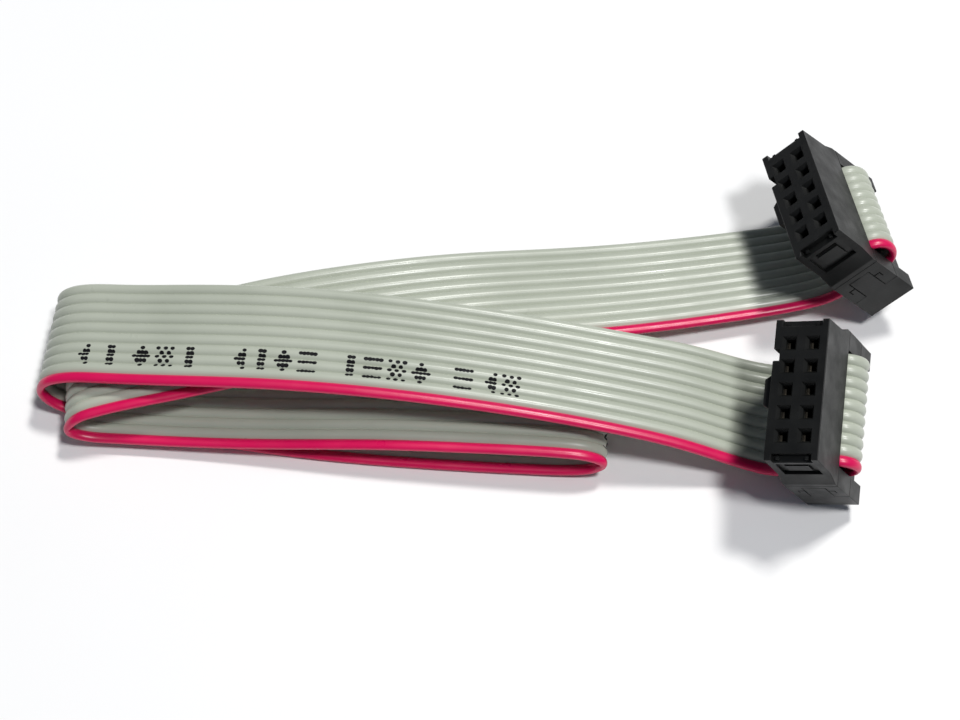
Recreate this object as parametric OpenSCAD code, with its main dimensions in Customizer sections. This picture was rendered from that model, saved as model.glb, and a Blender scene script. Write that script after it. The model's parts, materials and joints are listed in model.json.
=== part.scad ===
// Flat ribbon cable, ten wires wide, with a two-row socket crimped on each end.
// Lengths are in millimetres. The cable lies folded in three on a surface at z = 0.
//
// A socket is drawn in its own axes: x runs along the row of wires towards the coloured edge wire,
// y runs towards the plain side of the socket, and z points out of the mating face, which is at z = 0.

/* [Ribbon] */
// Distance between the middles of neighbouring wires
wire_pitch = 1.27; // [1.0:0.01:1.6]
// Thickness of the ribbon over the crest of a wire
wire_height = 0.9; // [0.7:0.01:1.1]
// Thickness of the web between two wires
web_height = 0.46; // [0.3:0.01:0.6]
// Diameter of the stranded copper core of a wire
core_d = 0.38; // [0.3:0.01:0.5]

/* [Socket body] */
// Length of the mating face past the ribbon's edge, at each end
end_w = 1.4; // [1.1:0.05:2]
// How far the latch ends stand out past the mating face
latch_out = 0.9; // [0.5:0.05:1.5]
// Thickness of the socket across its two rows
socket_t = 5.9; // [4.9:0.1:7.2]
// Height of the body, from the mating face to the ribbon
body_h = 6.9; // [5.7:0.1:8.4]
// Width of a square hole
hole_w = 1.0; // [0.8:0.05:1.2]
// Length of the polarising key
key_l = 4.2; // [3:0.1:6]
// How far the key stands out from the side
key_proud = 1.0; // [0.6:0.1:1.4]
// Width of the notch in the keyed side
notch_w = 1.3; // [0.8:0.1:1.8]

/* [Cover and strain relief] */
// Height of the cover that presses the ribbon onto the contacts
cover_h = 3.1; // [2.4:0.1:4]
// Height of the strain relief behind the ribbon
relief_h = 2.55; // [1.8:0.05:4]
// Thickness of the strain relief's bar across the rows
relief_t = 4.4; // [3:0.1:4.8]
// Width of the latch arms
arm_w = 2.6; // [1.8:0.1:3]
// How far the ribbon's turn stands out from the plain side, at its middle line
turn_out = 1.05; // [0.6:0.05:1.6]

/* [Contacts] */
// Thickness of the contact strip
strip_t = 0.25; // [0.15:0.01:0.35]
// Width of the fork that pierces the ribbon
fork_w = 0.94; // [0.8:0.02:1.1]

/* [Hidden] */
wires = 10;
columns = wires / 2;
red_wire = wires - 1;
ribbon_w = wires * wire_pitch;
hole_pitch = 2 * wire_pitch;     // each column of holes serves two wires
face_l = ribbon_w + 2 * end_w;
base_l = face_l + 2 * latch_out;
eps = 0.01;                      // overlap that keeps a cut or a union clean

// Clearances.
skin_gap = 0.02;                 // between the ribbon's crests and what clamps it
edge_gap = 0.15;                 // between the ribbon's edges and the posts beside it
arm_gap = 0.05;                  // around a latch arm, a tongue and a contact's fork
bore_gap = 0.01;                 // between a core and the fork's slot

// The space that the ribbon passes through.
slot_h = wire_height + 2 * skin_gap;
slot_l = ribbon_w + 2 * edge_gap;

// Heights down from the mating face.
upper_pass = body_h + slot_h / 2;              // middle of the ribbon's crimped pass
cover_top = body_h + slot_h;
cover_bottom = cover_top + cover_h;
lower_pass = cover_bottom + slot_h / 2;        // middle of the ribbon's pass under the cover
relief_top = cover_bottom + slot_h;
socket_h = relief_top + relief_h;

// Ends of the body.
latch_h = 0.7;                   // full-length foot of the body
flare_h = 1.7;                   // slope from the ends of the body out to its foot
flare_bottom = body_h - latch_h;
flare_top = flare_bottom - flare_h;
end_draft = 0.25;                // slope of each end above the flare
recess_l = 0.75;                 // lowered strip at each end of the mating face
recess_h = 0.8;
recess_wall = 0.75;
window_w = 4.2;                  // window in each end of the body
window_top = 1.3;
window_bottom = flare_top;

// Chambers of the contacts.
roof_t = 1.1;                    // wall between the mating face and the chambers
cavity_w = 1.5;                  // clear width of a chamber
foot_room = 1.6;                 // height of its wide foot
lead_in_w = 1.55;                // stepped lead-in around a hole
lead_in_h = 0.35;

// Key and notch on the keyed side.
key_top = 0.9;                   // from the mating face to the key
key_foot = 1.4;                  // from the key to the ribbon
key_h = body_h - key_top - key_foot;
key_slope = 0.7;                 // sloped ends of the key
notch_depth = 0.7;
notch_column = 0;                // the notch lies between this column of holes and the next

// Latch arms of the cover, and tongues of the strain relief.
arm_t = 0.7;
arm_out = face_l / 2 - 0.1;      // outer face of an arm
arm_in = arm_out - arm_t;
arm_top = window_top + 0.4;
catch_out = 0.18;                // catch on an arm
catch_top = arm_top + 0.2;
catch_bottom = window_bottom - 0.9;
tongue_t = 0.8;
tongue_top = body_h + 0.75;

// Contacts.
beam_w = 0.8;                    // two beams grip a pin
beam_gap = 0.56;
beam_top = roof_t + 0.15;
bridge_top = body_h - foot_room + 0.1;         // cross piece that joins the beams and the fork
bridge_h = 0.6;
fork_slot = core_d + 2 * bore_gap;
fork_reach = 0.7;                // how far the fork goes into the cover
fork_room = 0.6;                 // width of the cover's slot for it
fork_bottom = cover_top + fork_reach;

// The ribbon's turn at the plain side is half an oval, seen from the socket's end.
turn_steps = 6;
turn_inset = 0.9;                // the oval starts this far inside the plain side
turn_start = socket_t / 2 - turn_inset;
turn_wide = turn_out + turn_inset;
turn_mid = (upper_pass + lower_pass) / 2;
turn_high = (lower_pass - upper_pass) / 2;

// Middle of each socket's base in plan, and the socket's turn about x, then y, then z.
socket_a = resting([0.43, -11.48], [25, 13, -97.5]);
socket_b = resting([6.11, 12.31], [41.5, -9, -80.5]);

// The ribbon between the sockets: x, y and z of its middle line, then its yaw and roll in degrees.
run_stops = [
    // out of socket a, and the top run to the outer fold
    [-5.4, -10.9, 3.85, -7.4, -13],
    [-7.3, -10.4, 3.4, -7.2, -12],
    [-10.5, -9.9, 4, -6.5, -9],
    [-15.1, -9.2, 5.5, -6, -6],
    [-23.1, -8.2, 7.4, -6, -2],
    [-34.1, -6.9, 9.1, -6, -1],
    [-47.1, -5.6, 10.5, -6, -2],
    [-60.1, -4.3, 10.6, -6, -3],
    [-72.1, -3.1, 9.3, -6, -2],
    // outer fold
    [-80.1, -2.2, 8.1, -6, 0],
    [-83.5, -1.8, 7.5, -6, 0],
    [-86, -1.6, 6.3, -6, 0],
    [-87, -1.5, 4.4, -6, 0],
    [-86.2, -1.8, 2.4, -7, 0],
    [-83.9, -2.3, 1.1, -8, 0],
    // bottom run, on the surface
    [-79.1, -3.5, 0.55, -9, 0],
    [-69.1, -5.7, 0.5, -8, 0],
    [-55.1, -7.8, 0.5, -6, 0],
    [-41.1, -9, 0.5, -4, 0],
    [-32.1, -9.6, 0.7, -3, 0],
    // right-hand fold
    [-28.2, -9.8, 1, -3, 0],
    [-26, -9.9, 1.9, -3, 0],
    [-25.4, -10, 3.2, -3, 0],
    [-26.6, -10, 4.4, -3, 0],
    [-29.7, -9.8, 5, -3, 0],
    // inner run, back over the bottom run
    [-39.1, -9.1, 4.8, -4, 0],
    [-50.1, -8.3, 4.1, -4, 0],
    [-61.1, -7.5, 2.7, -4, 0],
    [-73.1, -6.6, 1.7, -3, 0],
    // inner fold
    [-79.7, -6.2, 1.65, -1, 0],
    [-82.9, -6.1, 2.1, 1, 0],
    [-84.6, -6, 3.4, 4, 0],
    [-84.1, -5.8, 5, 7, 0],
    [-81.6, -5.2, 6, 10, 0],
    // last run, under the top run and on to socket b
    [-74.1, -3.7, 6.6, 11, 0],
    [-63.1, -1.3, 7.3, 11, -2],
    [-51.1, 1.2, 7.1, 11, -2],
    [-40.1, 3.4, 5.95, 11, 0],
    [-30.1, 5.4, 4.0, 11, 2],
    [-19.1, 7.5, 2.4, 10.5, 4],
    [-9.1, 9.3, 1.85, 10, 6],
    [-3.1, 10.4, 1.85, 9.6, 7.8],
    [-0.5, 10.9, 2.3, 9.5, 9]
];

// ---------- placing ----------

function turn_x(a, p) = [p.x, p.y * cos(a) - p.z * sin(a), p.y * sin(a) + p.z * cos(a)];
function turn_y(a, p) = [p.x * cos(a) + p.z * sin(a), p.y, p.z * cos(a) - p.x * sin(a)];
function turn_z(a, p) = [p.x * cos(a) - p.y * sin(a), p.x * sin(a) + p.y * cos(a), p.z];
function turned(angles, p) = turn_z(angles.z, turn_y(angles.y, turn_x(angles.x, p)));
function from_socket(socket, p) = socket[0] + turned(socket[1], p);

// A socket whose lowest base corner is on the surface: the middle of its mating face, and its turn.
function corner_drop(angles) = min([for (x = [-base_l / 2, base_l / 2]) for (y = [-socket_t / 2, socket_t / 2])
    turned(angles, [x, y, 0]).z]);
function resting(place, angles) =
    [[place.x, place.y, -corner_drop(angles)] + turned(angles, [0, 0, socket_h]), angles];

module at_socket(socket) {
    translate(socket[0]) rotate(socket[1]) children();
}

// ---------- the ribbon's route ----------

// Direction across the ribbon towards the coloured edge.
function across(yaw, roll) = [sin(yaw) * cos(roll), -cos(yaw) * cos(roll), sin(roll)];

// The crimped end: in under the cover, round the plain side, and back over the cover.
function crimped(socket) = let (side = turned(socket[1], [1, 0, 0])) concat(
    [[from_socket(socket, [0, -socket_t / 2, -upper_pass]), side]],
    [for (i = [0 : turn_steps]) let (a = 180 * i / turn_steps)
        [from_socket(socket, [0, turn_start + turn_wide * sin(a), turn_high * cos(a) - turn_mid]), side]],
    [[from_socket(socket, [0, -socket_t / 2, -lower_pass]), side]]
);
function backward(list) = [for (i = [len(list) - 1 : -1 : 0]) list[i]];

route = concat(
    crimped(socket_a),
    [for (s = run_stops) [[s[0], s[1], s[2]], across(s[3], s[4])]],
    backward(crimped(socket_b))
);

// Directions at a stop: along the route, and out of the ribbon's face.
function unit(v) = v / norm(v);
function along(i) = unit(route[min(i + 1, len(route) - 1)][0] - route[max(i - 1, 0)][0]);
function facing(i) = unit(cross(along(i), route[i][1]));

// ---------- the ribbon's section ----------

function wire_mid(i) = (i - (wires - 1) / 2) * wire_pitch;

// Outline of the wires from first to last: crests in the middle of each, webs between them.
function upper_edge(first, last) = concat(
    [for (i = [first : last]) each [[wire_mid(i) - wire_pitch / 2, web_height / 2],
                                    [wire_mid(i), wire_height / 2]]],
    [[wire_mid(last) + wire_pitch / 2, web_height / 2]]
);
function lower_edge(first, last) = [for (p = upper_edge(first, last)) [p.x, -p.y]];

// Six points round a core, in the order of the six corners of a wire.
core_sides = 6;
first_corner = 150;
function core_ring(i) = [for (k = [0 : core_sides - 1]) let (a = first_corner - k * 360 / core_sides)
    [wire_mid(i) + core_d / 2 * cos(a), core_d / 2 * sin(a)]];

function placed(section, i) = let (out = facing(i))
    [for (p = section) route[i][0] + p.x * route[i][1] + p.y * out];

// Two triangles between corners a and b of one ring and of the next, n points further on.
// Pieces that touch use the same diagonal, so their faces meet exactly.
function wall(start, n, a, b) = [
    [start + a, start + b, start + n + b],
    [start + a, start + n + b, start + n + a]
];
function flipped(faces) = [for (f = faces) [f[2], f[1], f[0]]];

// Insulation of the wires from first to last, with a bore for each core.
module insulation(first, last) {
    count = last - first + 1;
    edge = 2 * count + 1;
    outline = concat(upper_edge(first, last), lower_edge(first, last));
    bores = [for (i = [first : last]) each core_ring(i)];
    section = concat(outline, bores);
    n = len(section);
    rings = len(route);
    loop = concat([for (k = [0 : edge - 1]) k], [for (k = [edge - 1 : -1 : 0]) edge + k]);
    last_side = 2 * edge - 1;
    sides = [for (r = [0 : rings - 2]) for (k = [0 : last_side])
        let (a = loop[k], b = loop[(k + 1) % (2 * edge)])
        each k < last_side ? wall(r * n, n, a, b) : flipped(wall(r * n, n, b, a))];
    bore_sides = [for (r = [0 : rings - 2]) for (w = [0 : count - 1]) for (k = [0 : core_sides - 1])
        let (base = 2 * edge + w * core_sides)
        each flipped(wall(r * n, n, base + k, base + (k + 1) % core_sides))];
    caps = [for (w = [0 : count - 1]) for (k = [0 : core_sides - 1])
        let (corner = [2 * w, 2 * w + 1, 2 * w + 2, edge + 2 * w + 2, edge + 2 * w + 1, edge + 2 * w],
             base = 2 * edge + w * core_sides, m = (k + 1) % core_sides)
        [corner[k], corner[m], base + m, base + k]];
    last_ring = (rings - 1) * n;
    start_caps = [for (c = caps) [c[3], c[2], c[1], c[0]]];
    end_caps = [for (c = caps) [for (v = c) v + last_ring]];
    polyhedron(
        points = [for (i = [0 : rings - 1]) each placed(section, i)],
        faces = concat(sides, bore_sides, start_caps, end_caps)
    );
}

module grey_insulation() {
    color([0.72, 0.74, 0.70]) insulation(0, red_wire - 1);
}

module red_edge_insulation() {
    color([0.80, 0.06, 0.22]) insulation(red_wire, red_wire);
}

// The copper core of one wire, over the ribbon's whole length.
module conductor(i) {
    rings = len(route);
    sides = [for (r = [0 : rings - 2]) for (k = [0 : core_sides - 1])
        each wall(r * core_sides, core_sides, k, (k + 1) % core_sides)];
    color([0.80, 0.48, 0.30]) polyhedron(
        points = [for (r = [0 : rings - 1]) each placed(core_ring(i), r)],
        faces = concat(sides, [[for (k = [core_sides - 1 : -1 : 0]) k]],
            [[for (k = [0 : core_sides - 1]) (rings - 1) * core_sides + k]])
    );
}

// ---------- the sockets ----------

// A block from x1 to x2, centred across the rows, and from z = -top down to z = -bottom.
module slab(x1, x2, width, top, bottom) {
    translate([x1, -width / 2, -bottom]) cube([x2 - x1, width, bottom - top]);
}

// A block centred on x and y, from z = -top down to z = -bottom.
module post(x, y, width, depth, top, bottom) {
    translate([x - width / 2, y - depth / 2, -bottom]) cube([width, depth, bottom - top]);
}

// Draws its children at both ends of the socket.
module both_ends() {
    children();
    mirror([1, 0, 0]) children();
}

function hole_x(column) = (column - (columns - 1) / 2) * hole_pitch;
function hole_y(row) = (row - 0.5) * hole_pitch;
function contact_x(wire) = hole_x(floor(wire / 2));
function contact_y(wire) = hole_y(wire % 2);

// Side view of the body, with flared latch ends.
module body_profile() {
    neck_l = face_l + 2 * end_draft;
    polygon([
        [-face_l / 2, 0], [face_l / 2, 0], [neck_l / 2, -flare_top],
        [base_l / 2, -flare_bottom], [base_l / 2, -body_h],
        [-base_l / 2, -body_h], [-base_l / 2, -flare_bottom], [-neck_l / 2, -flare_top]
    ]);
}

module key() {
    translate([0, -socket_t / 2 - key_proud, -key_top - key_h])
        linear_extrude(key_h)
            polygon([[-key_l / 2 + key_slope, 0], [key_l / 2 - key_slope, 0],
                     [key_l / 2, key_proud + eps], [-key_l / 2, key_proud + eps]]);
}

// Chamber for the contact of one wire: its foot widens towards the wire that it serves.
module chamber(wire) {
    x = contact_x(wire);
    y = contact_y(wire);
    lean = wire_mid(wire) - x;
    post(x, y, hole_w, hole_w, -eps, roof_t + eps);
    post(x, y, lead_in_w, lead_in_w, -eps, lead_in_h);
    post(x, y, cavity_w, cavity_w, roof_t, body_h + eps);
    post(x + lean / 2, y, abs(lean) + fork_w + 2 * arm_gap, cavity_w, body_h - foot_room, body_h + eps);
}

module socket_body() {
    color([0.10, 0.10, 0.11]) difference() {
        union() {
            rotate([90, 0, 0]) linear_extrude(socket_t, center = true) body_profile();
            key();
        }
        for (wire = [0 : wires - 1]) chamber(wire);
        both_ends() {
            slab(face_l / 2 - recess_l, base_l, socket_t - 2 * recess_wall, -eps, recess_h);
            slab(arm_out - eps, base_l, window_w, window_top, window_bottom);
            slab(arm_in - arm_gap, arm_out + arm_gap, arm_w + 2 * arm_gap, window_top, body_h + eps);
        }
        post(hole_x(notch_column) + hole_pitch / 2, -socket_t / 2, notch_w, 2 * notch_depth, -eps, flare_top);
    }
}

// The cover has a slot for each fork, and its latch arms reach up into the body.
module socket_cover() {
    color([0.10, 0.10, 0.11]) difference() {
        union() {
            translate([-slot_l / 2 - eps, -socket_t / 2, -cover_bottom])
                cube([slot_l + 2 * eps, socket_t / 2 + turn_start, cover_h]);
            both_ends() {
                slab(slot_l / 2, base_l / 2, socket_t, body_h, cover_bottom);
                slab(arm_in, arm_out, arm_w, arm_top, cover_top + eps);
                slab(arm_out - eps, arm_out + catch_out, arm_w, catch_top, catch_bottom);
            }
        }
        for (wire = [0 : wires - 1])
            post(wire_mid(wire), contact_y(wire), fork_w + 2 * arm_gap, fork_room,
                 cover_top - eps, fork_bottom + arm_gap);
        both_ends() slab(base_l / 2 - tongue_t - arm_gap, base_l, arm_w + 2 * arm_gap,
                         tongue_top - arm_gap, cover_bottom + eps);
    }
}

module strain_relief() {
    color([0.10, 0.10, 0.11]) {
        slab(-slot_l / 2 - eps, slot_l / 2 + eps, relief_t, relief_top, socket_h);
        both_ends() {
            slab(slot_l / 2, base_l / 2, socket_t, cover_bottom, socket_h);
            slab(base_l / 2 - tongue_t, base_l / 2, arm_w, tongue_top, cover_bottom + eps);
        }
    }
}

// Spring contact of one wire: two beams that grip a pin, and a fork that pierces the ribbon.
module contact(wire) {
    x = contact_x(wire);
    y = contact_y(wire);
    fork_x = wire_mid(wire);
    bridge_bottom = bridge_top + bridge_h;
    bridge_x1 = min(x - beam_w / 2, fork_x - fork_w / 2);
    bridge_x2 = max(x + beam_w / 2, fork_x + fork_w / 2);
    color([0.83, 0.72, 0.42]) {
        for (side = [-1, 1])
            post(x, y + side * (beam_gap + strip_t) / 2, beam_w, strip_t, beam_top, bridge_top + eps);
        post((bridge_x1 + bridge_x2) / 2, y, bridge_x2 - bridge_x1, beam_gap + 2 * strip_t,
             bridge_top, bridge_bottom);
        difference() {
            post(fork_x, y, fork_w, strip_t, bridge_bottom - eps, fork_bottom);
            post(fork_x, y, fork_slot, 2 * strip_t, upper_pass - core_d / 2 - bore_gap, fork_bottom + eps);
        }
    }
}

// ---------- every node ----------

grey_insulation();
red_edge_insulation();
for (i = [0 : wires - 1])
    conductor(i);
at_socket(socket_a) socket_body();  // socket_body_a
at_socket(socket_a) socket_cover();  // socket_cover_a
at_socket(socket_a) strain_relief();  // strain_relief_a
for (i = [0 : wires - 1])
    at_socket(socket_a) contact(i);
at_socket(socket_b) socket_body();  // socket_body_b
at_socket(socket_b) socket_cover();  // socket_cover_b
at_socket(socket_b) strain_relief();  // strain_relief_b
for (i = [0 : wires - 1])
    at_socket(socket_b) contact(i);
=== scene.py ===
"""Looks of a ten-wire ribbon cable with a two-row socket on each end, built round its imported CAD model.

The ribbon, its cores and the sockets' moulded pieces are remade where the CAD has them, with rounder lobes
and eased edges. The contacts stay as the CAD has them. Lengths are in metres, but for a socket's own axes,
which are in millimetres: x along its row towards the red edge wire, y towards its plain side, and z out of
its mating face, which is at z = 0.
"""

import json
import math

import bmesh
import bpy
import numpy as np
from mathutils import Matrix, Vector

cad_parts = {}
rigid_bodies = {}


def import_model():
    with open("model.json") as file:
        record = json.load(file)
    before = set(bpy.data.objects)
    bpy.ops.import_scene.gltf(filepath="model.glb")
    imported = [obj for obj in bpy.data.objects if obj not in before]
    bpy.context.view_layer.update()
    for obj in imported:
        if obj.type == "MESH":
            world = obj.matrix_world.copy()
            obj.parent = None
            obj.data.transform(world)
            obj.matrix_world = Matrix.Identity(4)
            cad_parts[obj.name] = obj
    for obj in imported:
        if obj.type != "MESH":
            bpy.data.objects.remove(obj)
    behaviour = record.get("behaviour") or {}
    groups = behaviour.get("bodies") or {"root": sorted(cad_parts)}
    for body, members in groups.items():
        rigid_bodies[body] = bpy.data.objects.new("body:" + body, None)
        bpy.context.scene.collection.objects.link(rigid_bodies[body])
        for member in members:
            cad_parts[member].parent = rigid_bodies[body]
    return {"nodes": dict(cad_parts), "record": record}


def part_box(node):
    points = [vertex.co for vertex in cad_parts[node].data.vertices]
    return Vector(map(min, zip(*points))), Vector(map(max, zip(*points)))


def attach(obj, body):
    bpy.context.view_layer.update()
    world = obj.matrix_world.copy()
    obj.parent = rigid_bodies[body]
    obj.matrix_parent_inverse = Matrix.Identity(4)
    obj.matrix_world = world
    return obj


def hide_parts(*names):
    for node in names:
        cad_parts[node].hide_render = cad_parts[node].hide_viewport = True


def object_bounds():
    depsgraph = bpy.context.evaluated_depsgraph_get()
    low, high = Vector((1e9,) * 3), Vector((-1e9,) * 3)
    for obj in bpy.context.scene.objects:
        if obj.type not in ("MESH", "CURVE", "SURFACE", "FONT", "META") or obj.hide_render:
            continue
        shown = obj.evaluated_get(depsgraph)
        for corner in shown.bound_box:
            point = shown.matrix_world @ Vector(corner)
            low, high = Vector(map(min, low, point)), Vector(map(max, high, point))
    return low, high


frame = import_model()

cad_low, cad_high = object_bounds()
MM = 0.001

# ---------- sizes, as in the CAD but for the web ----------

WIRES = 10
RED_WIRE = WIRES - 1
WIRE_PITCH = 0.00127
WIRE_HEIGHT = 0.0009
WEB_HEIGHT = 0.00024        # thinner than the CAD's web, for the photo's sharp grooves
CORE_D = 0.00038

# A socket, in millimetres.
HOLE_PITCH = 2.54
COLUMNS = 5
FACE_L = 15.5
BASE_L = 17.3
SOCKET_T = 5.9
BODY_H = 6.9
COVER_H = 3.1
RELIEF_H = 2.55
RELIEF_T = 4.4
SLOT_H = 0.94
SLOT_L = 13.0
UPPER_PASS = BODY_H + SLOT_H / 2
COVER_TOP = BODY_H + SLOT_H
COVER_BOTTOM = COVER_TOP + COVER_H
LOWER_PASS = COVER_BOTTOM + SLOT_H / 2
RELIEF_TOP = COVER_BOTTOM + SLOT_H
SOCKET_H = RELIEF_TOP + RELIEF_H
# The ribbon's turn outside the plain side: where it starts, and how far it reaches from there.
TURN_START = SOCKET_T / 2 - 0.9
TURN_WIDE = 1.95

# The route between the sockets: x, y and z of the ribbon's middle line, then its yaw and roll in degrees.
RUN_STOPS = (
    # out of socket a, and the top run to the outer fold
    (-0.0054, -0.0109, 0.00385, -7.4, -13),
    (-0.0073, -0.0104, 0.0034, -7.2, -12),
    (-0.0105, -0.0099, 0.004, -6.5, -9),
    (-0.0151, -0.0092, 0.0055, -6, -6),
    (-0.0231, -0.0082, 0.0074, -6, -2),
    (-0.0341, -0.0069, 0.0091, -6, -1),
    (-0.0471, -0.0056, 0.0105, -6, -2),
    (-0.0601, -0.0043, 0.0106, -6, -3),
    (-0.0721, -0.0031, 0.0093, -6, -2),
    # outer fold
    (-0.0801, -0.0022, 0.0081, -6, 0),
    (-0.0835, -0.0018, 0.0075, -6, 0),
    (-0.086, -0.0016, 0.0063, -6, 0),
    (-0.087, -0.0015, 0.0044, -6, 0),
    (-0.0862, -0.0018, 0.0024, -7, 0),
    (-0.0839, -0.0023, 0.0011, -8, 0),
    # bottom run, on the surface
    (-0.0791, -0.0035, 0.00055, -9, 0),
    (-0.0691, -0.0057, 0.0005, -8, 0),
    (-0.0551, -0.0078, 0.0005, -6, 0),
    (-0.0411, -0.009, 0.0005, -4, 0),
    (-0.0321, -0.0096, 0.0007, -3, 0),
    # right-hand fold
    (-0.0282, -0.0098, 0.001, -3, 0),
    (-0.026, -0.0099, 0.0019, -3, 0),
    (-0.0254, -0.01, 0.0032, -3, 0),
    (-0.0266, -0.01, 0.0044, -3, 0),
    (-0.0297, -0.0098, 0.005, -3, 0),
    # inner run, back over the bottom run
    (-0.0391, -0.0091, 0.0048, -4, 0),
    (-0.0501, -0.0083, 0.0041, -4, 0),
    (-0.0611, -0.0075, 0.0027, -4, 0),
    (-0.0731, -0.0066, 0.0017, -3, 0),
    # inner fold
    (-0.0797, -0.0062, 0.00165, -1, 0),
    (-0.0829, -0.0061, 0.0021, 1, 0),
    (-0.0846, -0.006, 0.0034, 4, 0),
    (-0.0841, -0.0058, 0.005, 7, 0),
    (-0.0816, -0.0052, 0.006, 10, 0),
    # last run, under the top run and on to socket b
    (-0.0741, -0.0037, 0.0066, 11, 0),
    (-0.0631, -0.0013, 0.0073, 11, -2),
    (-0.0511, 0.0012, 0.0071, 11, -2),
    (-0.0401, 0.0034, 0.00595, 11, 0),
    (-0.0301, 0.0054, 0.004, 11, 2),
    (-0.0191, 0.0075, 0.0024, 10.5, 4),
    (-0.0091, 0.0093, 0.00185, 10, 6),
    (-0.0031, 0.0104, 0.00185, 9.6, 7.8),
    (-0.0005, 0.0109, 0.0023, 9.5, 9),
)


# ---------- camera ----------

def make_camera():
    """Looks along +Y and down at 60 degrees, at the middle of the model."""
    distance, elevation = 0.25, math.radians(60)
    aim = Vector(((cad_low.x + cad_high.x) / 2 + 0.0001, (cad_low.y + cad_high.y) / 2 - 0.0008, 0))
    data = bpy.data.cameras.new("camera")
    data.sensor_width = 36
    data.lens = 82.5
    data.clip_start = 0.01
    camera = bpy.data.objects.new("camera", data)
    camera.location = aim + distance * Vector((0, -math.cos(elevation), math.sin(elevation)))
    camera.rotation_euler = (math.pi / 2 - elevation, 0, 0)
    bpy.context.scene.collection.objects.link(camera)
    bpy.context.scene.camera = camera


# ---------- the ribbon's route ----------

def middle(node):
    low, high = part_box(node)
    return (low + high) / 2


def socket_place(letter):
    """Matrix from a socket's own millimetres to the frame: its face mount, and the row of its contacts."""
    mount = next(m for m in frame["record"]["mounts"] if m["name"] == f"socket_face_{letter}")
    out = Vector(mount["axis"]).normalized()
    row = middle(f"contact_{letter}9") - middle(f"contact_{letter}1")
    row = (row - row.dot(out) * out).normalized()
    turn = Matrix((row, out.cross(row), out)).transposed()
    return Matrix.Translation(mount["pos_m"]) @ turn.to_4x4() @ Matrix.Scale(MM, 4)


def crimped(place):
    """The ribbon's middle line in a socket: under the body, round the plain side, and under the cover."""
    steps = 12
    inside = np.linspace(-SOCKET_T / 2, TURN_START, 5)[:-1]
    middle_z, half = (UPPER_PASS + LOWER_PASS) / 2, (LOWER_PASS - UPPER_PASS) / 2
    turns = np.linspace(0, math.pi, steps + 1)
    line = [(0, y, -UPPER_PASS) for y in inside]
    line += [(0, TURN_START + TURN_WIDE * math.sin(a), half * math.cos(a) - middle_z) for a in turns]
    line += [(0, y, -LOWER_PASS) for y in inside[::-1]]
    side = place.to_3x3() @ Vector((1 / MM, 0, 0))
    return [(place @ Vector(p), side) for p in line]


def stop(x, y, z, yaw, roll):
    """A point of the ribbon's middle line, and the direction across it towards the red edge."""
    yaw, roll = math.radians(yaw), math.radians(roll)
    across = Vector((math.sin(yaw) * math.cos(roll), -math.cos(yaw) * math.cos(roll), math.sin(roll)))
    return Vector((x, y, z)), across


def smooth_through(knots, values):
    """The natural cubic spline through values at knots, as a function."""
    gap, n = np.diff(knots), len(knots)
    matrix, right = np.eye(n), np.zeros_like(values)
    slope = np.diff(values, axis=0) / gap[:, None]
    for i in range(1, n - 1):
        matrix[i, i - 1:i + 2] = gap[i - 1], 2 * (gap[i - 1] + gap[i]), gap[i]
        right[i] = 6 * (slope[i] - slope[i - 1])
    bend = np.linalg.solve(matrix, right)

    def at(x):
        i = np.clip(np.searchsorted(knots, x) - 1, 0, n - 2)
        h, ahead, behind = gap[i][:, None], (knots[i + 1] - x)[:, None], (x - knots[i])[:, None]
        curve = (bend[i] * ahead ** 3 + bend[i + 1] * behind ** 3) / (6 * h)
        line = (values[i] / h - bend[i] * h / 6) * ahead
        line += (values[i + 1] / h - bend[i + 1] * h / 6) * behind
        return curve + line
    return at


def unit(vectors):
    return vectors / np.linalg.norm(vectors, axis=1)[:, None]


class Route:
    """The ribbon's middle line, the direction across it towards the red edge, and the way out of its face."""

    def __init__(self, stops):
        points = np.array([p for p, _ in stops])
        across = np.array([a for _, a in stops])
        knots = np.concatenate([[0], np.cumsum(np.linalg.norm(np.diff(points, axis=0), axis=1))])
        self.length = knots[-1]
        self.point = smooth_through(knots, points)
        self.side = smooth_through(knots, across)

    def frames(self, at):
        nudge = 1e-5
        points = self.point(at)
        along = unit(self.point(at + nudge) - self.point(at - nudge))
        side = self.side(at)
        side = unit(side - (side * along).sum(1)[:, None] * along)
        return points, side, np.cross(along, side)

    def rings(self, longest=0.0014, sharpest=math.radians(5)):
        """Places along the route, closer together where it bends."""
        samples = 6000
        fine = np.linspace(0, self.length, samples)
        points, _, out = self.frames(fine)
        steps = np.linalg.norm(np.diff(points, axis=0), axis=1)
        bends = np.linalg.norm(np.diff(out, axis=0), axis=1)
        cost = np.concatenate([[0], np.cumsum(steps / longest + bends / sharpest)])
        return np.interp(np.linspace(0, cost[-1], math.ceil(cost[-1])), cost, fine)


places = {letter: socket_place(letter) for letter in "ab"}
ends = {letter: crimped(places[letter]) for letter in "ab"}
route = Route(ends["a"] + [stop(*s) for s in RUN_STOPS] + ends["b"][::-1])
RINGS = route.rings()


# ---------- the ribbon's section ----------

LOBE_RISE = (WIRE_HEIGHT - WEB_HEIGHT) / 2
LOBE_RADIUS = ((WIRE_PITCH / 2) ** 2 + LOBE_RISE ** 2) / (2 * LOBE_RISE)
LOBE_ANGLE = math.asin(WIRE_PITCH / 2 / LOBE_RADIUS)
LOBE_STEPS = 5
EDGE_STEPS = 6
EDGE_REACH = 0.00058        # from an edge wire's middle to the ribbon's round edge


def wire_middle(wire):
    """Place of a wire's middle across the ribbon."""
    return (wire - (WIRES - 1) / 2) * WIRE_PITCH


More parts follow.
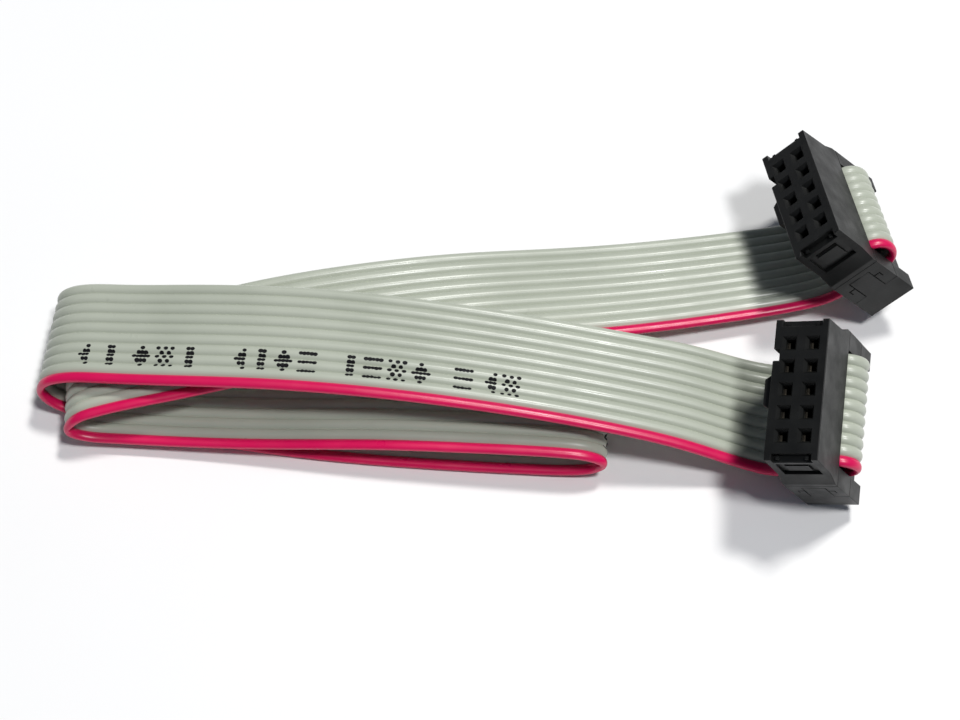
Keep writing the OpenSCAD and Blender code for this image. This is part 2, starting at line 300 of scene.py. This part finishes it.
def half_lobe(wire, side):
    """Upper outline of half a wire, from its crest to a groove or to the ribbon's round edge."""
    centre, top = wire_middle(wire), WIRE_HEIGHT / 2
    if (wire, side) in ((0, -1), (RED_WIRE, 1)):
        turns = np.linspace(0, math.pi / 2, EDGE_STEPS + 1)
        return [(centre + side * EDGE_REACH * math.sin(a), top * math.cos(a)) for a in turns]
    return [(centre + side * LOBE_RADIUS * math.sin(a), top - LOBE_RADIUS * (1 - math.cos(a)))
            for a in np.linspace(0, LOBE_ANGLE, LOBE_STEPS + 1)]


def ribbon_section(first, last):
    """Closed outline of the wires from first to last, as (across, height) pairs."""
    top = []
    for wire in range(first, last + 1):
        left = half_lobe(wire, -1)[::-1]
        top += (left[1:] if top else left) + half_lobe(wire, 1)[1:]
    return top + [(u, -h) for u, h in reversed(top) if h > 1e-6]


def core_section(wire, sides=8):
    turns = [2 * math.pi * k / sides for k in range(sides)]
    return [(wire_middle(wire) + CORE_D / 2 * math.cos(a), CORE_D / 2 * math.sin(a)) for a in turns]


def new_object(name, mesh, material):
    mesh.materials.append(material)
    piece = bpy.data.objects.new(name, mesh)
    bpy.context.scene.collection.objects.link(piece)
    return piece


def mesh_of(name, bm):
    """A mesh from a closed bmesh, with its faces turned outwards. The bmesh is freed."""
    bmesh.ops.recalc_face_normals(bm, faces=bm.faces)
    mesh = bpy.data.meshes.new(name)
    bm.to_mesh(mesh)
    bm.free()
    return mesh


def lofted(name, section, at, material):
    """A section swept along the route, with sharp grooves.

    Its attribute strand holds each point's place across the ribbon and along it.
    """
    points, side, out = route.frames(at)
    section = np.array(section)
    rings = (points[:, None] + section[None, :, :1] * side[:, None] + section[None, :, 1:] * out[:, None])
    n, count = len(section), len(at)
    faces = [(r * n + k, r * n + (k + 1) % n, (r + 1) * n + (k + 1) % n, (r + 1) * n + k)
             for r in range(count - 1) for k in range(n)]
    faces += [tuple(range(n)), tuple(range((count - 1) * n, count * n))[::-1]]
    mesh = bpy.data.meshes.new(name)
    mesh.from_pydata(rings.reshape(-1, 3).tolist(), [], faces)
    bm = bmesh.new()
    bm.from_mesh(mesh)
    bmesh.ops.recalc_face_normals(bm, faces=bm.faces)
    grooves = {k for k in range(n) if abs(abs(section[k, 1]) - WEB_HEIGHT / 2) < 1e-7}
    for edge in bm.edges:
        first, second = (v.index % n for v in edge.verts)
        if first == second and first in grooves:
            edge.smooth = False
    bm.to_mesh(mesh)
    bm.free()
    strand = np.zeros((count, n, 3))
    strand[:, :, 0] = section[:, 0]
    strand[:, :, 1] = at[:, None]
    attribute = mesh.attributes.new("strand", "FLOAT_VECTOR", "POINT")
    attribute.data.foreach_set("vector", strand.astype(np.float32).ravel())
    smooth = np.ones(len(mesh.polygons), bool)
    smooth[-2:] = False
    mesh.polygons.foreach_set("use_smooth", smooth)
    return new_object(name, mesh, material)


# ---------- print on the ribbon ----------

# Plain marks, five rows of dots high. Each string is a row, from the one nearest the red edge.
MARKS = {
    "bar": (".##.", ".##.", ".##.", ".##.", ".##."),
    "diamond": ("..#..", ".###.", "#####", ".###.", "..#.."),
    "wedge": ("#....", "##...", "###..", "##...", "#...."),
    "check": ("#.#.#", ".#.#.", "#.#.#", ".#.#.", "#.#.#"),
    "rule": ("#####", ".....", "#####", ".....", "#####"),
}
ROW_STEP = 0.00052
DOT_STEP = 0.00040
DOT_WIDE = 0.00022          # half a dot's size across the ribbon
DOT_LONG = 0.00027          # and along it
MARK_STEP = 0.0026
PRINT_EDGE = 0.0040         # row of dots nearest the red edge, from the ribbon's middle
# Groups of marks: distance along the route of the first, then the marks.
PRINT_GROUPS = (
    (0.0486, ("check", "wedge", "rule")),
    (0.0584, ("diamond", "check", "rule", "bar")),
    (0.0707, ("rule", "diamond", "bar", "wedge")),
    (0.0839, ("bar", "check", "diamond")),
    (0.0928, ("bar",)),
    (0.0961, ("wedge",)),
    (0.1668, ("check",)),
)


def lobe_height(u):
    """Height of the ribbon's face above its middle, that far from its middle line."""
    wire = np.clip(np.floor(u / WIRE_PITCH + WIRES / 2), 0, WIRES - 1)
    away = u - (wire - (WIRES - 1) / 2) * WIRE_PITCH
    return WIRE_HEIGHT / 2 - LOBE_RADIUS + np.sqrt(LOBE_RADIUS ** 2 - away ** 2)


def dots():
    """Places of every printed dot: across the ribbon, and along it."""
    for start, names in PRINT_GROUPS:
        for m, name in enumerate(names):
            for row, line in enumerate(MARKS[name]):
                for column, letter in enumerate(line):
                    if letter == "#":
                        yield PRINT_EDGE - row * ROW_STEP, start + m * MARK_STEP + column * DOT_STEP


def printed(name, material):
    """Thin ink dots that follow the wires' round tops, as one mesh. Their size and place vary a little."""
    sides, ink, sunk = 8, 0.000016, 0.00003
    smallest, largest, wander = 0.88, 1.1, 0.06
    rng = np.random.default_rng(7)
    turns = np.arange(sides) * 2 * math.pi / sides
    disc = [(0.0, 0.0)] + [(r * math.cos(a), r * math.sin(a)) for r in (0.6, 1.0) for a in turns]
    disc = np.array(disc) * (DOT_WIDE, DOT_LONG)
    n = len(disc)
    top = [(0, 1 + k, 1 + (k + 1) % sides) for k in range(sides)]
    top += [(1 + k, 1 + sides + k, 1 + sides + (k + 1) % sides, 1 + (k + 1) % sides) for k in range(sides)]
    wall = [(1 + sides + k, n + 1 + sides + k, n + 1 + sides + (k + 1) % sides,
             1 + sides + (k + 1) % sides) for k in range(sides)]
    shape = top + [tuple(n + v for v in face[::-1]) for face in top] + wall
    points, faces = [], []
    for u, s in dots():
        spot = disc * rng.uniform(smallest, largest) + np.array([u, s])
        spot = spot + rng.uniform(-1, 1, 2) * DOT_STEP * wander
        place, side, out = route.frames(spot[:, 1])
        for lift in (ink, -sunk):
            height = lobe_height(spot[:, 0]) + lift
            points += (place + spot[:, :1] * side + height[:, None] * out).tolist()
        faces += [tuple(len(points) - 2 * n + v for v in face) for face in shape]
    bm = bmesh.new()
    corners = [bm.verts.new(p) for p in points]
    for face in faces:
        bm.faces.new([corners[v] for v in face])
    return new_object(name, mesh_of(name, bm), material)


# ---------- sockets ----------

def outline_box(x1, x2, y1, y2, z1, z2):
    """A block as its lower and its upper outline."""
    corners = [(x1, y1), (x2, y1), (x2, y2), (x1, y2)]
    return [(x, y, z1) for x, y in corners], [(x, y, z2) for x, y in corners]


def slab(x1, x2, width, top, bottom):
    """A block centred across the rows, from z = -top down to z = -bottom."""
    return outline_box(x1, x2, -width / 2, width / 2, -bottom, -top)


def post(x, y, width, depth, top, bottom):
    return outline_box(x - width / 2, x + width / 2, y - depth / 2, y + depth / 2, -bottom, -top)


def flipped(solid):
    """The same solid at the socket's other end."""
    return tuple([(-x, y, z) for x, y, z in outline] for outline in solid)


def at_both_ends(*solids):
    return list(solids) + [flipped(s) for s in solids]


def solid_object(solid, collection):
    """A closed mesh between two outlines of as many points."""
    lower, upper = solid
    n = len(lower)
    bm = bmesh.new()
    rings = [[bm.verts.new(p) for p in outline] for outline in (lower, upper)]
    for k in range(n):
        bm.faces.new((rings[0][k], rings[0][(k + 1) % n], rings[1][(k + 1) % n], rings[1][k]))
    bm.faces.new(rings[0])
    bm.faces.new(rings[1])
    piece = bpy.data.objects.new("solid", mesh_of("solid", bm))
    collection.objects.link(piece)
    return piece


def on_skin(edge):
    """Whether an edge lies on a socket's outside: its long sides, its back, or an end of its base or face."""
    slack, shortest, face_end_l = 0.01, 0.4, 0.8
    a, b = (v.co for v in edge.verts)
    out, up, back = min(abs(a.x), abs(b.x)), min(a.z, b.z), min(-a.z, -b.z)
    long_side = min(abs(a.y), abs(b.y)) > SOCKET_T / 2 - slack or back > SOCKET_H - slack
    base_end = out > BASE_L / 2 - slack
    face_end = out > FACE_L / 2 - face_end_l and up > -slack
    return (long_side or base_end or face_end) and edge.calc_length() > shortest


def moulded(name, place, solids, cutters, studs, material):
    """The union of solids less the cutters, plus studs, put at place with its outer edges rounded."""
    weld, rounding, flat, sharp = 0.002, 0.09, math.radians(0.5), math.radians(20)
    groups = []
    for kind in (solids[1:], cutters, studs):
        group = bpy.data.collections.new("operands")
        bpy.context.scene.collection.children.link(group)
        for solid in kind:
            solid_object(solid, group)
        groups.append(group)
    base = solid_object(solids[0], bpy.context.scene.collection)
    for operation, group in zip(("UNION", "DIFFERENCE", "UNION"), groups):
        if group.objects:
            cut = base.modifiers.new(operation, "BOOLEAN")
            cut.operation, cut.solver = operation, "EXACT"
            cut.operand_type, cut.collection = "COLLECTION", group
    mesh = bpy.data.meshes.new_from_object(base.evaluated_get(bpy.context.evaluated_depsgraph_get()))
    mesh.name = name
    for group in groups:
        for piece in list(group.objects):
            bpy.data.objects.remove(piece)
        bpy.data.collections.remove(group)
    bpy.data.objects.remove(base)
    bm = bmesh.new()
    bm.from_mesh(mesh)
    bmesh.ops.remove_doubles(bm, verts=bm.verts, dist=weld)
    bmesh.ops.dissolve_limit(bm, angle_limit=flat, verts=bm.verts, edges=bm.edges)
    bmesh.ops.recalc_face_normals(bm, faces=bm.faces)
    if bm.calc_volume(signed=True) < 0:
        bmesh.ops.reverse_faces(bm, faces=bm.faces)
    weight = bm.edges.layers.float.new("bevel_weight_edge")
    for edge in bm.edges:
        edge[weight] = float(on_skin(edge) and edge.calc_face_angle(0) > sharp)
        edge.smooth = edge.calc_face_angle(0) < sharp
    bm.transform(place)
    bm.to_mesh(mesh)
    bm.free()
    mesh.polygons.foreach_set("use_smooth", np.ones(len(mesh.polygons), bool))
    piece = new_object(name, mesh, material)
    eased = piece.modifiers.new("bevel", "BEVEL")
    eased.limit_method = "WEIGHT"
    eased.width, eased.segments, eased.harden_normals = rounding * MM, 3, True
    return piece


def hole_place(wire):
    """Place of the hole above a wire's contact, in the socket's own millimetres."""
    return (wire // 2 - (COLUMNS - 1) / 2) * HOLE_PITCH, (wire % 2 - 0.5) * HOLE_PITCH


FLARE_TOP = 4.5             # the ends of the body widen below here
FLARE_BOTTOM = 6.2
END_DRAFT = 0.25
KEY_L = 4.2
KEY_SLOPE = 0.7
KEY_PROUD = 1.0
KEY_TOP = 0.9
KEY_BOTTOM = 5.5
NOTCH_W = 1.3
NOTCH_DEPTH = 0.7
RECESS_L = 0.75             # the step down at each end of the face
RECESS_H = 0.8
RECESS_WALL = 0.75
WINDOW_W = 4.2
WINDOW_TOP = 1.3
ARM_OUT = FACE_L / 2 - 0.1  # outer side of a latch arm
ARM_T = 0.7
ARM_W = 2.6
ARM_GAP = 0.05
ARM_TOP = 1.7
CATCH_OUT = 0.18
CATCH_TOP = 1.9
CATCH_BOTTOM = 3.6
TONGUE_T = 0.8
TONGUE_TOP = BODY_H + 0.75
FORK_SLOT_L = 1.04
FORK_SLOT_T = 0.6
FORK_ABOVE = 0.2
FORK_DEEP = 0.75
OVER = 0.5                  # how far a cutter stands out of what it cuts, or one solid reaches into the next


def body_solids():
    """Profile with flared latch ends, and the key with sloped ends."""
    neck, half_t, half_key = FACE_L / 2 + END_DRAFT, SOCKET_T / 2, KEY_L / 2
    right = [(FACE_L / 2, 0), (neck, -FLARE_TOP), (BASE_L / 2, -FLARE_BOTTOM), (BASE_L / 2, -BODY_H)]
    profile = [(-FACE_L / 2, 0)] + right + [(-x, z) for x, z in right[:0:-1]]
    body = [(x, -half_t, z) for x, z in profile], [(x, half_t, z) for x, z in profile]
    left = [(-half_key, -half_t + OVER), (-half_key, -half_t), (-half_key + KEY_SLOPE, -half_t - KEY_PROUD)]
    key = left + [(-x, y) for x, y in left[::-1]]
    return [body, ([(x, y, -KEY_BOTTOM) for x, y in key], [(x, y, -KEY_TOP) for x, y in key])]


def body_cutters():
    """Each contact's hole, sloped lead-in and chamber, and the cuts in the ends and the keyed side."""
    hole, lead_in, cavity, roof, foot = 1.0, 1.6, 1.5, 1.1, 1.6
    lead_in_h, above = 0.45, 0.09
    spread = lead_in + 0.12     # width of the lead-in's cutter at its upper end, above the face
    cuts = []
    for wire in range(WIRES):
        x, y = hole_place(wire)
        lean = wire_middle(wire) / MM - x
        small, _ = post(x, y, hole, hole, lead_in_h, lead_in_h)
        large, _ = post(x, y, spread, spread, -above, -above)
        cuts += [(small, large), post(x, y, hole, hole, 0.3, roof + 0.1),
                 post(x, y, cavity, cavity, roof, BODY_H + OVER),
                 post(x + lean / 2, y, abs(lean) + FORK_SLOT_L, cavity, BODY_H - foot, BODY_H + OVER)]
    cuts += at_both_ends(
        slab(FACE_L / 2 - RECESS_L, BASE_L, SOCKET_T - 2 * RECESS_WALL, -OVER, RECESS_H),
        slab(ARM_OUT - 0.02, BASE_L, WINDOW_W, WINDOW_TOP, FLARE_TOP),
        slab(ARM_OUT - ARM_T - ARM_GAP, ARM_OUT + ARM_GAP, ARM_W + 2 * ARM_GAP, WINDOW_TOP, BODY_H + OVER))
    cuts.append(post(-1.5 * HOLE_PITCH, -SOCKET_T / 2, NOTCH_W, 2 * NOTCH_DEPTH, -OVER, FLARE_TOP))
    return cuts


def face_pips():
    """A small pip at each corner of the face, on the floor of its end recess."""
    x, y, width, top, bottom = 7.36, 1.6, 0.36, 0.4, 1.1
    return at_both_ends(*(post(x, side * y, width, width, top, bottom) for side in (-1, 1)))


def cover_solids():
    """The block behind the ribbon, and an upright at each end with a latch arm and its catch."""
    block = outline_box(-SLOT_L / 2 - OVER, SLOT_L / 2 + OVER,
                        -SOCKET_T / 2, TURN_START, -COVER_BOTTOM, -COVER_TOP)
    return [block] + at_both_ends(
        slab(SLOT_L / 2, BASE_L / 2, SOCKET_T, BODY_H, COVER_BOTTOM),
        slab(ARM_OUT - ARM_T, ARM_OUT, ARM_W, ARM_TOP, COVER_TOP + OVER),
        slab(ARM_OUT - OVER, ARM_OUT + CATCH_OUT, ARM_W, CATCH_TOP, CATCH_BOTTOM))


def cover_cutters():
    """A slot for each fork and each tongue of the strain relief, and a stepped line beside each tongue."""
    cuts = [post(wire_middle(wire) / MM, hole_place(wire)[1], FORK_SLOT_L, FORK_SLOT_T,
                 COVER_TOP - FORK_ABOVE, COVER_TOP + FORK_DEEP) for wire in range(WIRES)]
    cuts += at_both_ends(
        slab(BASE_L / 2 - TONGUE_T - ARM_GAP, BASE_L, ARM_W + 2 * ARM_GAP, TONGUE_TOP - ARM_GAP,
             COVER_BOTTOM + OVER))
    start, depth, line, reach, drop = BASE_L / 2 - 0.15, 8.7, 0.1, 2.0, 0.8
    for side in (-1, 1):
        inner, outer = side * ARM_W / 2, side * reach
        cuts += at_both_ends(
            outline_box(start, BASE_L, inner, outer, -depth - line, -depth),
            outline_box(start, BASE_L, outer, outer + side * line, -depth - drop, -depth))
    return cuts


def relief_solids():
    """The narrow bar behind the ribbon, and a foot at each end with its tongue."""
    return [slab(-SLOT_L / 2 - OVER, SLOT_L / 2 + OVER, RELIEF_T, RELIEF_TOP, SOCKET_H)] + at_both_ends(
        slab(SLOT_L / 2, BASE_L / 2, SOCKET_T, COVER_BOTTOM, SOCKET_H),
        slab(BASE_L / 2 - TONGUE_T, BASE_L / 2, ARM_W, TONGUE_TOP, COVER_BOTTOM + OVER))


def make_socket(letter, plastic):
    place = places[letter]
    pieces = {
        f"socket_body_{letter}": (body_solids(), body_cutters(), face_pips()),
        f"socket_cover_{letter}": (cover_solids(), cover_cutters(), []),
        f"strain_relief_{letter}": (relief_solids(), [], []),
    }
    for node, shapes in pieces.items():
        piece = moulded("moulded_" + node, place, *shapes, plastic)
        stand_in(piece, "black_plastic", node)


# ---------- materials ----------

class Nodes:
    """A material's node tree, with a Principled shader at its end."""

    def __init__(self, name):
        self.material = bpy.data.materials.new(name)
        self.material.use_nodes = True
        self.tree = self.material.node_tree
        self.shader = self.tree.nodes["Principled BSDF"]

    def add(self, kind, inputs=(), **settings):
        node = self.tree.nodes.new(kind)
        for key, value in settings.items():
            setattr(node, key, value)
        for key, value in dict(inputs).items():
            if isinstance(value, bpy.types.NodeSocket):
                self.tree.links.new(value, node.inputs[key])
            else:
                node.inputs[key].default_value = value
        return node

    def link(self, output, name):
        self.tree.links.new(output, self.shader.inputs[name])

    def where(self):
        return self.add("ShaderNodeTexCoord").outputs["Object"]

    def strand(self, across, along):
        """Place on the ribbon, stretched along the wires."""
        read = self.add("ShaderNodeAttribute", attribute_name="strand")
        scaled = self.add("ShaderNodeVectorMath", {0: read.outputs["Vector"], 1: (across, along, 1)},
                          operation="MULTIPLY")
        return scaled.outputs[0]

    def noise(self, vector, scale, detail=3.0, rough=0.5):
        return self.add("ShaderNodeTexNoise", {"Vector": vector, "Scale": scale, "Detail": detail,
                                               "Roughness": rough}).outputs["Fac"]

    def ranged(self, value, low, high, start=0.3, end=0.7):
        return self.add("ShaderNodeMapRange", {"Value": value, "From Min": start, "From Max": end,
                                               "To Min": low, "To Max": high}).outputs["Result"]

    def ramp(self, value, *stops):
        node = self.add("ShaderNodeValToRGB", {"Fac": value})
        points = node.color_ramp.elements
        while len(points) < len(stops):
            points.new(0.5)
        for point, (at, colour) in zip(points, stops):
            point.position, point.color = at, (*colour, 1)
        return node.outputs["Color"]

    def mixed(self, share, first, second):
        node = self.add("ShaderNodeMix", data_type="RGBA")
        for index, value in ((0, share), (6, first), (7, second)):
            if isinstance(value, bpy.types.NodeSocket):
                self.tree.links.new(value, node.inputs[index])
            else:
                node.inputs[index].default_value = (*value, 1) if index else value
        return node.outputs[2]

    def bump(self, height, strength, distance):
        node = self.add("ShaderNodeBump", {"Height": height, "Strength": strength, "Distance": distance})
        self.link(node.outputs["Normal"], "Normal")


def pvc(name, light, dark, handled):
    """Satin extruded PVC: faint draw lines along the wire, slight clouds of tone, and handled spots."""
    m = Nodes(name)
    place = m.where()
    clouds = m.noise(place, 90, 4)
    lines = m.noise(m.strand(9000, 40), 1.0, 3)
    tone = m.ramp(clouds, (0.32, dark), (0.68, light))
    streak = m.ranged(lines, 0.0, 0.35)
    tone = m.mixed(streak, tone, dark)
    specks = m.ranged(m.noise(place, 700, 2, 0.6), 0.0, 0.25, 0.70, 0.78)
    m.link(m.mixed(specks, tone, handled), "Base Color")
    m.link(m.ranged(m.noise(place, 260, 3), 0.27, 0.42), "Roughness")
    m.shader.inputs["IOR"].default_value = 1.52
    m.shader.inputs["Specular IOR Level"].default_value = 0.5
    m.bump(m.add("ShaderNodeMath", {0: lines, 1: m.noise(place, 2600, 2)}, operation="ADD").outputs[0],
           0.25, 0.00002)
    return m.material


def black_plastic():
    """Glass-filled moulding: near black, with a fine grain, pale rubbed patches and mould bloom."""
    m = Nodes("moulded_black")
    place = m.where()
    grain = m.noise(place, 5200, 3, 0.6)
    clouds = m.noise(place, 240, 4, 0.6)
    tone = m.ramp(clouds, (0.3, (0.0035, 0.0038, 0.0036)), (0.72, (0.008, 0.0085, 0.0082)))
    dust = m.ranged(m.noise(place, 1900, 2, 0.7), 0.0, 0.35, 0.68, 0.80)
    m.link(m.mixed(dust, tone, (0.03, 0.03, 0.029)), "Base Color")
    m.link(m.ranged(m.noise(place, 420, 3), 0.38, 0.55), "Roughness")
    m.shader.inputs["IOR"].default_value = 1.5
    m.shader.inputs["Specular IOR Level"].default_value = 0.3
    m.bump(grain, 0.35, 0.00003)
    return m.material


def metal(name, light, dark, low, high):
    """Drawn or stamped metal with fine scratches and a little tarnish."""
    m = Nodes(name)
    place = m.where()
    m.link(m.ramp(m.noise(place, 900, 4), (0.3, dark), (0.7, light)), "Base Color")
    m.link(m.ranged(m.noise(place, 3000, 3), low, high), "Roughness")
    m.shader.inputs["Metallic"].default_value = 1.0
    m.bump(m.noise(place, 6000, 2), 0.2, 0.00001)
    return m.material


def ink():
    m = Nodes("print_ink")
    place = m.where()
    m.link(m.ramp(m.noise(place, 1500, 3), (0.35, (0.002, 0.002, 0.003)), (0.75, (0.010, 0.010, 0.012))),
           "Base Color")
    m.link(m.ranged(m.noise(place, 2500, 2), 0.55, 0.75), "Roughness")
    m.shader.inputs["Specular IOR Level"].default_value = 0.2
    return m.material


def floor_paper():
    m = Nodes("floor")
    place = m.where()
    tone = m.ramp(m.noise(place, 12, 3), (0.35, (0.90, 0.90, 0.895)), (0.65, (0.915, 0.915, 0.91)))
    m.link(tone, "Base Color")
    m.link(m.ranged(m.noise(place, 60, 2), 0.75, 0.85), "Roughness")
    m.shader.inputs["Specular IOR Level"].default_value = 0.2
    return m.material


# ---------- pieces ----------

def stand_in(piece, slot, *nodes):
    """The piece rides with the object and stands for those CAD nodes. The slot argument is not used."""
    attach(piece, "root")
    if nodes:
        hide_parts(*nodes)


def make_ribbon(grey_pvc, red_pvc, copper):
    grey = lofted("ribbon_grey", ribbon_section(0, RED_WIRE - 1), RINGS, grey_pvc)
    red = lofted("ribbon_red_edge", ribbon_section(RED_WIRE, RED_WIRE), RINGS, red_pvc)
    stand_in(grey, "grey_pvc", "grey_insulation")
    stand_in(red, "red_pvc", "red_edge_insulation")
    ink_dots = printed("ribbon_print", ink())
    stand_in(ink_dots, "grey_pvc")
    for wire in range(WIRES):
        core = lofted(f"core_{wire + 1}", core_section(wire), RINGS, copper)
        stand_in(core, "copper", f"conductor_{wire + 1}")
    path = route.point(RINGS)


# The contacts' metal holds painted shade: its colour is darker than plated metal, for the deep holes they sit
# in.
def finish_contacts(shaded_contact_metal):
    for letter in "ab":
        for wire in range(WIRES):
            node = frame["nodes"][f"contact_{letter}{wire + 1}"]
            node.data.materials.clear()
            node.data.materials.append(shaded_contact_metal)


# ---------- stage ----------

def area_light(name, place, aim, size, power, colour):
    """A lamp whose first size is its length from front to back."""
    data = bpy.data.lights.new(name, "AREA")
    data.shape, data.size, data.size_y = "RECTANGLE", *size
    data.energy, data.color = power, colour
    lamp = bpy.data.objects.new(name, data)
    lamp.location = place
    lamp.rotation_euler = (Vector(aim) - Vector(place)).to_track_quat("-Z", "Y").to_euler()
    bpy.context.scene.collection.objects.link(lamp)


def make_stage():
    """A pale floor just under the model, a dim cool sky and two lamps on the right, behind and in front."""
    clearance = 0.00002
    bm = bmesh.new()
    bmesh.ops.create_grid(bm, x_segments=8, y_segments=8, size=1.2)
    floor = new_object("floor", mesh_of("floor", bm), floor_paper())
    floor.location = (cad_low + cad_high) / 2
    floor.location.z = cad_low.z - clearance
    world = bpy.data.worlds.new("studio")
    world.use_nodes = True
    background = world.node_tree.nodes["Background"]
    background.inputs["Color"].default_value = (0.74, 0.82, 1.0, 1)
    background.inputs["Strength"].default_value = 0.14
    bpy.context.scene.world = world
    centre = (cad_low + cad_high) / 2
    area_light("back", centre + Vector((0.33, 0.37, 1.12)), centre, (0.20, 0.16), 8.9, (1.0, 0.99, 0.965))
    area_light("front", centre + Vector((0.34, -0.24, 1.12)), centre, (0.18, 0.16), 7.4, (0.99, 0.99, 1.0))
    bpy.context.scene.view_settings.view_transform = "Standard"


make_camera()
make_ribbon(
    pvc("pvc_grey", (0.47, 0.50, 0.42), (0.41, 0.44, 0.365), (0.30, 0.32, 0.26)),
    pvc("pvc_red", (0.72, 0.002, 0.095), (0.60, 0.002, 0.08), (0.45, 0.003, 0.06)),
    metal("stranded_copper", (0.86, 0.50, 0.32), (0.62, 0.33, 0.20), 0.25, 0.45),
)
moulding = black_plastic()
for letter in "ab":
    make_socket(letter, moulding)
# Plated contact metal, painted much darker than real plating as painted shade for the deep holes round the
# contacts.
finish_contacts(metal("plated_contact_painted_shade", (0.24, 0.21, 0.16), (0.15, 0.13, 0.10), 0.35, 0.55))
make_stage()
